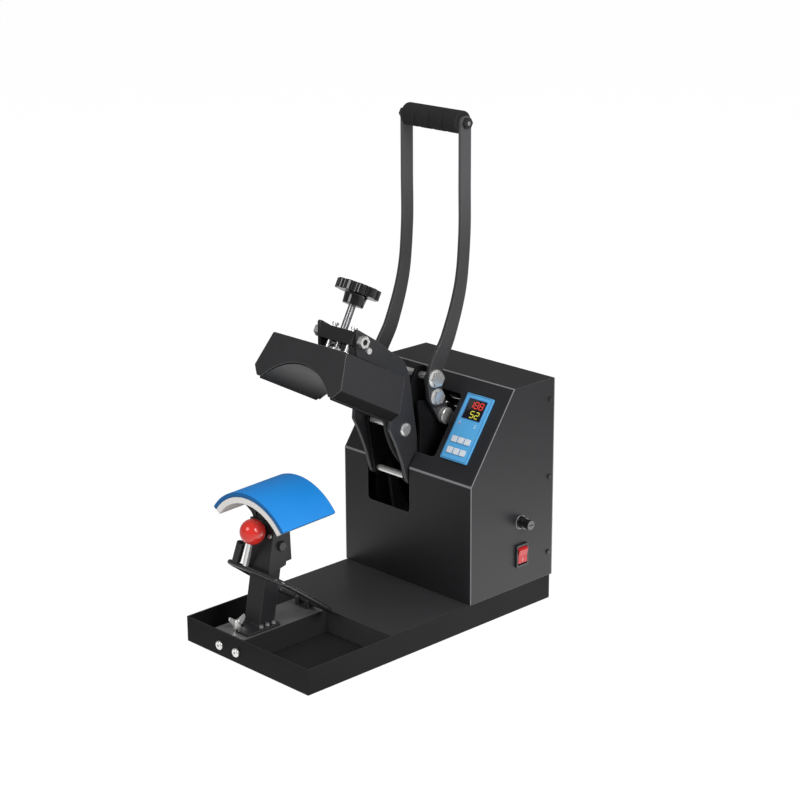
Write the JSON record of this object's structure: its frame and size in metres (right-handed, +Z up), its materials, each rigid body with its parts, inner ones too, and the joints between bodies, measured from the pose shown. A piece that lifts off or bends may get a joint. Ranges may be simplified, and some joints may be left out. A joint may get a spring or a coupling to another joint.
{
  "type": "cap heat press",
  "caption": "Lever-operated cap heat press: a curved heated head on a swinging arm closes onto a curved silicone pad on a post, with a controller in the rear housing.",
  "frame": {"origin": "centre of the base's underside", "axes": "+X to the operator's right, +Y towards the back, +Z up"},
  "size_m": [0.2652, 0.4697, 0.6765],
  "materials": {
    "black_coat": "fine satin powder coat",
    "deck_coat": "satin powder coat",
    "zinc": "bright zinc plate",
    "cast_alloy": "light grey cast aluminium",
    "hot_plate": "smooth machined face",
    "blue_silicone": "smooth silicone",
    "pad_rubber": "moulded rubber",
    "red_gloss": "polished phenolic ball",
    "black_plastic": "moulded",
    "grip_foam": "closed-cell foam",
    "panel_blue": "printed membrane",
    "window": "tinted window",
    "key_white": "moulded keys",
    "red_clear": "translucent moulding",
    "conduit": "braided sleeve",
    "mineral_wool": "pressed fibre board",
    "grey_steel": "mill finish"
  },
  "bodies": {
    "base": {"base_tray": "black_coat", "deck_plate": "deck_coat", "centre_rail": "deck_coat", "rail_bolts": "zinc", "rubber_pads": "pad_rubber", "housing_cover": "black_coat", "back_panel": "black_coat", "cover_screws": "zinc", "frame_plates": "black_coat", "arm_pivot_shaft": "zinc", "lever_pivot_bolts": "zinc", "controller_case": "black_plastic", "controller_panel": "panel_blue", "display_window": "window", "fuse_holder": "black_plastic", "rocker_bezel": "black_plastic", "mains_gland": "black_plastic", "terminal_block": "black_plastic", "post": "black_coat", "post_foot": "black_coat", "foot_bolts": "zinc", "platen_bolts": "zinc", "lower_platen": "cast_alloy", "silicone_pad": "blue_silicone", "post_bracket": "black_coat"},
    "handle": {"handle_bar_left": "black_coat", "handle_bar_right": "black_coat", "handle_grip": "grip_foam", "grip_bolt": "zinc", "lever_plates": "black_coat", "lever_bolts": "zinc", "toggle_shaft": "zinc"},
    "arm": {"arm_plate_left": "black_coat", "arm_plate_right": "black_coat", "drive_plates": "black_coat", "arm_tie_rod": "zinc", "cross_block": "black_coat", "block_bolts": "zinc", "link_pin": "zinc", "heater_cable": "conduit"},
    "head": {"head_cover": "black_coat", "heater_platen": "hot_plate", "insulation_pad": "mineral_wool", "mounting_plate": "grey_steel", "guide_pins": "zinc"},
    "pressure": {"pressure_screw": "zinc", "pressure_knob": "black_plastic"},
    "bail": {"bail_loop": "black_coat", "ball_stem": "zinc", "ball_knob": "red_gloss", "clamp_sleeve": "black_plastic"},
    "wing": {"wing_screw": "zinc"},
    "fuse": {"fuse_cap": "black_plastic"},
    "power": {"rocker": "red_clear"},
    "button_1": {"key_1": "key_white"},
    "button_2": {"key_2": "key_white"},
    "button_3": {"key_3": "key_white"},
    "button_4": {"key_4": "key_white"},
    "button_5": {"key_5": "key_white"},
    "button_6": {"key_6": "key_white"}
  },
  "joints": [
    {"name": "handle_swing", "type": "hinge", "parent": "base", "child": "handle", "pos_m": [-0.035, 0.1202, 0.2671], "axis": [1, 0, 0], "range_deg": [0, 78]},
    {"name": "arm_swing", "type": "hinge", "parent": "base", "child": "arm", "pos_m": [-0.035, 0.12621, 0.09193], "axis": [1, 0, 0], "range_deg": [0, 30.71]},
    {"name": "knob_turn", "type": "hinge", "parent": "head", "child": "pressure", "pos_m": [-0.035, 0.01348, 0.45392], "axis": [0, -0.4726, -0.8813], "range_deg": [0, 720]},
    {"name": "head_slide", "type": "slide", "parent": "arm", "child": "head", "axis": [0, -0.4726, -0.8813], "range_m": [0, 0.003]},
    {"name": "bail_swing", "type": "hinge", "parent": "base", "child": "bail", "pos_m": [-0.035, -0.091, 0.0435], "axis": [1, 0, 0], "range_deg": [0, 25]},
    {"name": "wing_turn", "type": "hinge", "parent": "base", "child": "wing", "pos_m": [-0.0424, -0.2028, 0.04], "axis": [0, 0, 1], "range_deg": [0, 90]},
    {"name": "fuse_cap_turn", "type": "hinge", "parent": "base", "child": "fuse", "pos_m": [0.135, 0.162, 0.129], "axis": [1, 0, 0], "range_deg": [0, 90]},
    {"name": "rocker_rock", "type": "hinge", "parent": "base", "child": "power", "pos_m": [0.119, 0.1635, 0.081], "axis": [0, -1, 0], "range_deg": [0, 14]},
    {"name": "key_1_press", "type": "slide", "parent": "base", "child": "button_1", "axis": [0, 0.8212, -0.5707], "range_m": [0, 0.0008], "stiffness_N_per_m": 500},
    {"name": "key_2_press", "type": "slide", "parent": "base", "child": "button_2", "axis": [0, 0.8212, -0.5707], "range_m": [0, 0.0008], "stiffness_N_per_m": 500},
    {"name": "key_3_press", "type": "slide", "parent": "base", "child": "button_3", "axis": [0, 0.8212, -0.5707], "range_m": [0, 0.0008], "stiffness_N_per_m": 500},
    {"name": "key_4_press", "type": "slide", "parent": "base", "child": "button_4", "axis": [0, 0.8212, -0.5707], "range_m": [0, 0.0008], "stiffness_N_per_m": 500},
    {"name": "key_5_press", "type": "slide", "parent": "base", "child": "button_5", "axis": [0, 0.8212, -0.5707], "range_m": [0, 0.0008], "stiffness_N_per_m": 500},
    {"name": "key_6_press", "type": "slide", "parent": "base", "child": "button_6", "axis": [0, 0.8212, -0.5707], "range_m": [0, 0.0008], "stiffness_N_per_m": 500}
  ],
  "couplings": [
    {"joint": "arm_swing", "follows": "handle_swing", "ratio": 0.39359},
    {"joint": "knob_turn", "follows": "head_slide", "rad_per_m": 4188.8}
  ]
}
